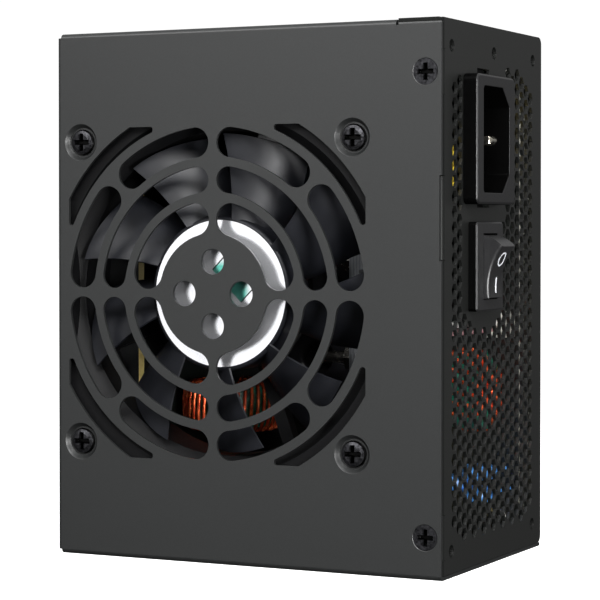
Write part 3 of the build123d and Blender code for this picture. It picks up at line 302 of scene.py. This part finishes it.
def stacked(name, codes, pitch, axis, roughness, metallic=0.0, depth=0.05, ragged=0.4):
    """A finish with fine parallel lines, pitch millimetres apart along one axis, as wound tape,
    stacked sheets and extruded metal have. A wave of scale 1 turns 20 radians in a metre."""
    material, shader, place = new_material(name, Roughness=roughness, Metallic=metallic)
    lines = add(material, "TexWave", {"Vector": place, "Scale": 2 * pi / 20 / (pitch * MM),
                                      "Distortion": ragged, "Detail": 1.0, "Detail Scale": 2.0},
                wave_type="BANDS", bands_direction=axis)
    colour = add(material, "Mix", {0: lines.outputs["Fac"], 6: linear(codes[0]), 7: linear(codes[1])},
                 data_type="RGBA")
    material.node_tree.links.new(colour.outputs[2], shader.inputs["Base Color"])
    emboss(material, shader, lines.outputs["Fac"], depth, 0.8)
    return material


laminations = stacked("stacked_electrical_steel", ("#4b4b50", "#77777c"), 0.5, "Y", 0.4, 1.0)
dress(laminations, "fan_stator")

ferrite, shader, place = new_material("ground_ferrite", Roughness=0.55, Specular_IOR_Level=0.6)
crystals = mottle(ferrite, shader, place, ("#2a2a2c", "#3b3b3e"), 0.3, (0.45, 0.65))
emboss(ferrite, shader, crystals.outputs["Fac"], 0.01, 0.6)
dress(ferrite, "fan_magnet", "main_transformer_core", "standby_transformer_core", "boost_choke_core")

# ---- inlet ---------------------------------------------------------------------------------
# The mains inlet's housing, moulded in black polyamide. The flange's face is satin; the
# drafted walls round it and in the cavity get painted shade, near black and with little gloss.
# Three nickel-plated blades stand in it.
FLANGE_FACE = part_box("chassis")[1].x + 0.5 * MM


def shade_off_face(material, shader, place):
    """Keeps the satin skin on what faces outwards from the panel and stands proud of it, and
    paints shade on everything else: near black, with little gloss."""
    facing = add(material, "TexCoord", {}).outputs["Normal"]
    outward = add(material, "SeparateXYZ", {"Vector": facing})
    along = add(material, "SeparateXYZ", {"Vector": place})
    faces_out = add(material, "Math", {0: outward.outputs["X"], 1: 0.5}, operation="GREATER_THAN")
    proud = add(material, "Math", {0: along.outputs["X"], 1: FLANGE_FACE}, operation="GREATER_THAN")
    satin = add(material, "Math", {0: faces_out.outputs["Value"], 1: proud.outputs["Value"]},
                operation="MULTIPLY")
    skin_colour = shader.inputs["Base Color"].links[0].from_socket
    # Painted shade: near black on the walls and in the cavity, the skin's own colour on the face.
    colour = add(material, "Mix", {0: satin.outputs["Value"], 6: linear("#020202"), 7: skin_colour},
                 data_type="RGBA")
    gloss = add(material, "MapRange", {"Value": satin.outputs["Value"], "To Min": 0.05, "To Max": 0.5})
    material.node_tree.links.new(colour.outputs[2], shader.inputs["Base Color"])
    material.node_tree.links.new(gloss.outputs["Result"], shader.inputs["Specular IOR Level"])


nylon, shader, place = new_material("moulded_black_polyamide", Roughness=0.4)
skin = mottle(nylon, shader, place, ("#101011", "#161617"), 0.5, (0.36, 0.46))
emboss(nylon, shader, skin.outputs["Fac"], 0.01, 0.5)
shade_off_face(nylon, shader, place)
softened("inlet_shell", "inlet_housing", 0.22, "case", nylon, 3)

plating, shader, place = new_material("nickel_plated_brass", Metallic=1.0, Roughness=0.18)
worn = mottle(plating, shader, place, ("#cfc9ba", "#e6e2d6"), 1.2, (0.14, 0.3))
emboss(plating, shader, worn.outputs["Fac"], 0.01, 0.4)
softened("inlet_blades", "inlet_pins", 0.15, "case", plating, 2)
dress(plating, "switch_terminals", "output_socket_pins")

# ---- switch --------------------------------------------------------------------------------
# A snap-in rocker switch. Housing and rocker are the same satin polyamide, a shade apart, and
# the two marks on the rocker are pad-printed in white ink.
switch_nylon, shader, place = new_material("moulded_black_polyamide_of_the_switch", Roughness=0.38)
skin = mottle(switch_nylon, shader, place, ("#141415", "#1b1b1c"), 0.5, (0.34, 0.44))
emboss(switch_nylon, shader, skin.outputs["Fac"], 0.01, 0.5)
# The switch housing's walls get the same painted shade.
shade_off_face(switch_nylon, shader, place)
softened("switch_shell", "switch_housing", 0.18, "case", switch_nylon, 3)

rocker_nylon, shader, place = new_material("moulded_black_polyamide_of_the_rocker", Roughness=0.34)
skin = mottle(rocker_nylon, shader, place, ("#161617", "#1c1c1d"), 0.5, (0.3, 0.4))
emboss(rocker_nylon, shader, skin.outputs["Fac"], 0.008, 0.5)
softened("rocker_body", "switch_rocker", 0.2, "rocker", rocker_nylon, 3)

ink, shader, place = new_material("pad_printed_white_ink", Roughness=0.35)
mottle(ink, shader, place, ("#dfe3ea", "#f0f2f5"), 0.4, (0.3, 0.45))
dress(ink, "rocker_marks")

# ---- output sockets ------------------------------------------------------------------------
# Nine sockets for detachable leads, moulded in black polyamide, soldered to an upright board.
socket_nylon, shader, place = new_material("moulded_black_polyamide_of_the_sockets", Roughness=0.45)
skin = mottle(socket_nylon, shader, place, ("#161617", "#1e1f20"), 0.6, (0.4, 0.52))
emboss(socket_nylon, shader, skin.outputs["Fac"], 0.01, 0.5)
dress(socket_nylon, "output_socket_18_way", "output_socket_10_way", "output_sockets_8_way",
      "output_sockets_6_way")

# ---- circuit boards ------------------------------------------------------------------------
# Pale phenolic laminate with a faint weave. Black solder mask covers both faces of the main
# and the output board and leaves their sawn edges pale. The fan's and the control board are bare.
WEAVE_PITCH = 0.6
CORE_HALF = 0.78 * MM
laminate, shader, place = new_material("phenolic_laminate")
fibres = mottle(laminate, shader, place, ("#b39f5c", "#cdbb7c"), WEAVE_PITCH, (0.36, 0.5))
emboss(laminate, shader, fibres.outputs["Fac"], 0.01, 0.6)
dress(laminate, "fan_circuit_board")


def masked_board(name, node, axis):
    """Laminate with black solder mask on both faces, which are square to the axis. The mask
    lies outside CORE_HALF from the board's middle, so a thinner board stays bare."""
    low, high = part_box(node)
    middle = (low + high)["XYZ".index(axis)] / 2
    board, shader, place = new_material(name, Roughness=0.4)
    fibres = add(board, "TexNoise", {"Vector": place, "Scale": 1 / (WEAVE_PITCH * MM), "Detail": 3.0})
    sawn = add(board, "Mix", {0: fibres.outputs["Fac"], 6: linear("#b8a35c"), 7: linear("#d8c786")},
               data_type="RGBA")
    along = add(board, "SeparateXYZ", {"Vector": place})
    core = add(board, "Math", {0: along.outputs[axis], 1: middle, 2: CORE_HALF}, operation="COMPARE")
    coat = add(board, "Mix", {0: core.outputs["Value"], 6: linear("#0d120f"), 7: sawn.outputs[2]},
               data_type="RGBA")
    board.node_tree.links.new(coat.outputs[2], shader.inputs["Base Color"])
    emboss(board, shader, fibres.outputs["Fac"], 0.01, 0.5)
    dress(board, node)


masked_board("masked_laminate_of_the_main_board", "main_board", "Y")
masked_board("masked_laminate_of_the_output_board", "output_board", "X")
masked_board("bare_laminate_of_the_control_board", "control_board", "X")

# ---- board fixings and film ----------------------------------------------------------------
# Nickel-plated standoffs and screws hold the board over a clouded polyester film, which keeps
# the solder side off the base plate.
nickel, shader, place = new_material("nickel_plated_steel", Metallic=1.0, Roughness=0.22)
mottle(nickel, shader, place, ("#b4b0a8", "#cac7bf"), 0.8, (0.18, 0.3))
dress(nickel, "board_standoffs", "board_screws", "heatsink_screws")

film, shader, place = new_material("clouded_polyester_film", Roughness=0.3)
mottle(film, shader, place, ("#b9b8ad", "#c6c5bb"), 5.0, (0.25, 0.4))
dress(film, "insulating_sheet")

# ---- chokes: cores and windings ------------------------------------------------------------
# Ring cores, coated in green epoxy, wound with thick enamelled copper wire. Each turn is a
# rounded loop round the core's section, and leans a little to the next one.
core_epoxy, shader, place = new_material("green_epoxy_core_coating", Roughness=0.3)
mottle(core_epoxy, shader, place, ("#0f5a49", "#1a7a62"), 1.5, (0.25, 0.4))
dress(core_epoxy, "line_choke_core", "output_choke_core")

enamel, shader, place = new_material("enamelled_copper_wire", Metallic=0.6, Roughness=0.24)
mottle(enamel, shader, place, ("#e0401a", "#ff7a45"), 1.6, (0.2, 0.32))
dress(enamel, "fan_coils")


def wound(name, node, centre, axis, zero, middle, half, wire, turns, sweep, start):
    """Turns of wire round a ring core. In millimetres, middle is the radius of the ring's middle
    line, half is a turn's half size across and along the axis, and wire is the wire's radius.
    The winding covers sweep degrees, and starts start degrees on from the direction zero."""
    bpy.ops.object.select_all(action="DESELECT")
    bpy.ops.curve.primitive_nurbs_circle_add(radius=1)
    piece = bpy.context.object
    piece.name = name
    axis = Vector(axis)
    zero = Vector(zero)
    out = zero * cos(radians(start)) + axis.cross(zero) * sin(radians(start))
    round_it = axis.cross(out)
    lean = radians(sweep) / turns * middle * 0.3
    for point in piece.data.splines[0].points:
        x, y, _, weight = point.co
        place = Vector(centre) + out * (middle + x * half[0]) + axis * (y * half[1]) + round_it * (y * lean)
        point.co = (*(place * MM), 1.0 if weight == 1 else 1.6)
    piece.data.bevel_depth = wire * MM
    piece.data.bevel_resolution = 2
    piece.data.splines[0].resolution_u = 4
    bpy.ops.object.convert(target="MESH")
    piece = bpy.context.object
    bpy.ops.object.mode_set(mode="EDIT")
    bpy.ops.mesh.select_all(action="SELECT")
    bpy.ops.mesh.spin(steps=turns - 1, dupli=True, angle=radians(sweep) * (turns - 1) / turns,
                      center=[c * MM for c in centre], axis=axis)
    bpy.ops.mesh.select_all(action="SELECT")
    bpy.ops.mesh.remove_doubles(threshold=0.001 * MM)
    bpy.ops.mesh.normals_make_consistent(inside=False)
    bpy.ops.object.mode_set(mode="OBJECT")
    bpy.ops.object.shade_smooth()
    piece.data.materials.clear()
    piece.data.materials.append(enamel)
    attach(piece, "case")
    if node:
        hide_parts(node)


wound("output_choke_turns", "output_choke_winding", centre=(-23.2, 8.5, 34), axis=(0, 0, 1), zero=(0, 1, 0),
      middle=9.1, half=(3.5, 6.0), wire=0.42, turns=42, sweep=336, start=12)
for name, node, start in (("line_choke_turns_lower", "line_choke_windings", -58),
                          ("line_choke_turns_upper", None, 122)):
    wound(name, node, centre=(41, 9, 39.7), axis=(1, 0, 0), zero=(0, 0, -1),
          middle=7.0, half=(3.05, 4.4), wire=0.56, turns=8, sweep=124, start=start)

# ---- transformers --------------------------------------------------------------------------
# The main transformer's winding is wrapped in yellow polyester tape, whose edges show as fine
# lines. The standby transformer and the boost choke are wrapped in black tape.
tape = stacked("yellow_polyester_tape", ("#e8b41a", "#ffd23c"), 1.4, "Y", 0.28, 0.0, 0.03)
dress(tape, "main_transformer_winding")

dark_tape = stacked("black_polyester_tape", ("#141416", "#1e1e21"), 1.4, "Y", 0.3, 0.0, 0.03)
dress(dark_tape, "standby_transformer_winding", "boost_choke_winding")

# ---- capacitors ----------------------------------------------------------------------------
# Electrolytic cans in a dark shrunk sleeve, film capacitors in yellow moulded boxes, and disc
# capacitors dipped in blue epoxy.
sleeve, shader, place = new_material("shrunk_capacitor_sleeve", Roughness=0.22)
mottle(sleeve, shader, place, ("#16181f", "#1d2029"), 2.0, (0.18, 0.3))
dress(sleeve, "bulk_capacitor", "output_capacitors")

yellow_box, shader, place = new_material("yellow_moulded_polyester_box", Roughness=0.35)
mottle(yellow_box, shader, place, ("#ecc832", "#ffe04a"), 1.5, (0.3, 0.42))
dress(yellow_box, "x_capacitors")

blue_dip, shader, place = new_material("dipped_blue_epoxy", Roughness=0.25)
dimpled = mottle(blue_dip, shader, place, ("#3f8ae0", "#66abf5"), 1.2, (0.2, 0.34))
emboss(blue_dip, shader, dimpled.outputs["Fac"], 0.05, 0.5)
dress(blue_dip, "y_capacitors")

# ---- heatsinks and semiconductors ----------------------------------------------------------
# Extruded aluminium, with die lines along its length, and devices moulded in black epoxy.
aluminium = stacked("extruded_aluminium", ("#8d9094", "#a9acb0"), 0.8, "X", 0.35, 1.0, 0.02, 1.5)
dress(aluminium, "primary_heatsink", "secondary_heatsink")

black_epoxy, shader, place = new_material("moulded_black_epoxy", Roughness=0.5)
mottle(black_epoxy, shader, place, ("#161616", "#202021"), 0.4, (0.42, 0.56))
dress(black_epoxy, "bridge_rectifier", "primary_transistors", "rectifier_transistors", "control_chips",
      "inrush_thermistor")

# ---- fuse ----------------------------------------------------------------------------------
# A ceramic tube fuse in two clips. The tube is fired but not glazed, so it is a little uneven.
ceramic, shader, place = new_material("fired_white_ceramic", Roughness=0.4)
mottle(ceramic, shader, place, ("#d9d6cb", "#e8e6de"), 0.8, (0.3, 0.5))
dress(ceramic, "fuse")

# ---- leads ---------------------------------------------------------------------------------
# PVC-sleeved stranded wire, held at both ends, and the fan's nylon plug.
SLEEVES = [("live_lead", "#4a2c20"), ("switch_lead", "#3a241c"),
           ("neutral_lead", "#2f4f86"), ("earth_lead", "#5f8a2e")]
BETWEEN_FAN_WIRES = 55 * MM
for node, code in SLEEVES:
    sleeve_pvc, shader, place = new_material("extruded_pvc_" + node, Roughness=0.4, Base_Color=linear(code))
    waxy = add(sleeve_pvc, "TexNoise", {"Vector": place, "Scale": 1 / (0.8 * MM), "Detail": 2.0})
    emboss(sleeve_pvc, shader, waxy.outputs["Fac"], 0.01, 0.4)
    dress(sleeve_pvc, node)

fan_pvc, shader, place = new_material("extruded_pvc_of_the_fan_leads", Roughness=0.4)
along = add(fan_pvc, "SeparateXYZ", {"Vector": place})
upper = add(fan_pvc, "Math", {0: along.outputs["Z"], 1: BETWEEN_FAN_WIRES}, operation="GREATER_THAN")
pair = add(fan_pvc, "Mix", {0: upper.outputs["Value"], 6: linear("#c8969a"), 7: linear("#c9c7c4")},
           data_type="RGBA")
fan_pvc.node_tree.links.new(pair.outputs[2], shader.inputs["Base Color"])
dress(fan_pvc, "fan_lead")

plug_nylon, shader, place = new_material("moulded_white_nylon", Roughness=0.45)
mottle(plug_nylon, shader, place, ("#dcd9cf", "#e9e7df"), 1.0, (0.38, 0.5))
dress(plug_nylon, "fan_connector")

# ---- the studio ----------------------------------------------------------------------------
# A white light table under soft light: a softbox high at the front right, a card high at the
# left that lights the top of the fan face, a low card that the foil mirrors, and a small lamp
# at the right that looks in through the vents. Only the camera sees the table's own glow.
bpy.ops.object.select_all(action="DESELECT")
bpy.ops.mesh.primitive_plane_add(size=8, location=(0, 0, 0))
floor = bpy.context.object
floor.name = "light_table"
acrylic, shader, place = new_material("lit_white_acrylic", Roughness=0.8, Emission_Strength=0.75)
shader.inputs["Emission Color"].default_value = linear("#ffffff")
mottle(acrylic, shader, place, ("#f3f3f2", "#f6f6f5"), 40.0)
floor.data.materials.append(acrylic)
floor.visible_diffuse = False
floor.visible_glossy = False

world = bpy.data.worlds.new("studio_surround")
bpy.context.scene.world = world
world.use_nodes = True
surround = world.node_tree.nodes["Background"]
surround.inputs["Color"].default_value = linear("#ffffff")
direction = add(world, "TexCoord", {})
up = add(world, "SeparateXYZ", {"Vector": direction.outputs["Generated"]})
dome = add(world, "MapRange", {"Value": up.outputs["Z"], "From Min": -0.1, "From Max": 0.8,
                               "To Min": 0.08, "To Max": 0.7})
seen = add(world, "LightPath", {})
strength = add(world, "Mix", {0: seen.outputs["Is Camera Ray"], 2: dome.outputs["Result"], 3: 1.05})
world.node_tree.links.new(strength.outputs[0], surround.inputs["Strength"])
bpy.context.scene.view_settings.view_transform = "Standard"

SOFTBOXES = [("key_softbox", (0.26, -0.52, 0.52), (0.4, 0.3), 7.6),
             ("upper_card", (-0.2, -0.42, 0.38), (0.3, 0.16), 1.5),
             ("front_card", (-0.36, -0.74, 0.09), (0.26, 0.34), 0.4),
             ("side_lamp", (0.35, -0.3, 0.03), (0.12, 0.12), 3.2)]
for name, spot, size, power in SOFTBOXES:
    lamp = bpy.data.lights.new(name, "AREA")
    lamp.shape = "RECTANGLE"
    lamp.size, lamp.size_y = size
    lamp.energy = power
    softbox = bpy.data.objects.new(name, lamp)
    bpy.context.scene.collection.objects.link(softbox)
    softbox.location = spot
    softbox.rotation_euler = (Vector((0, 0, 0.06)) - Vector(spot)).to_track_quat("-Z", "Y").to_euler()
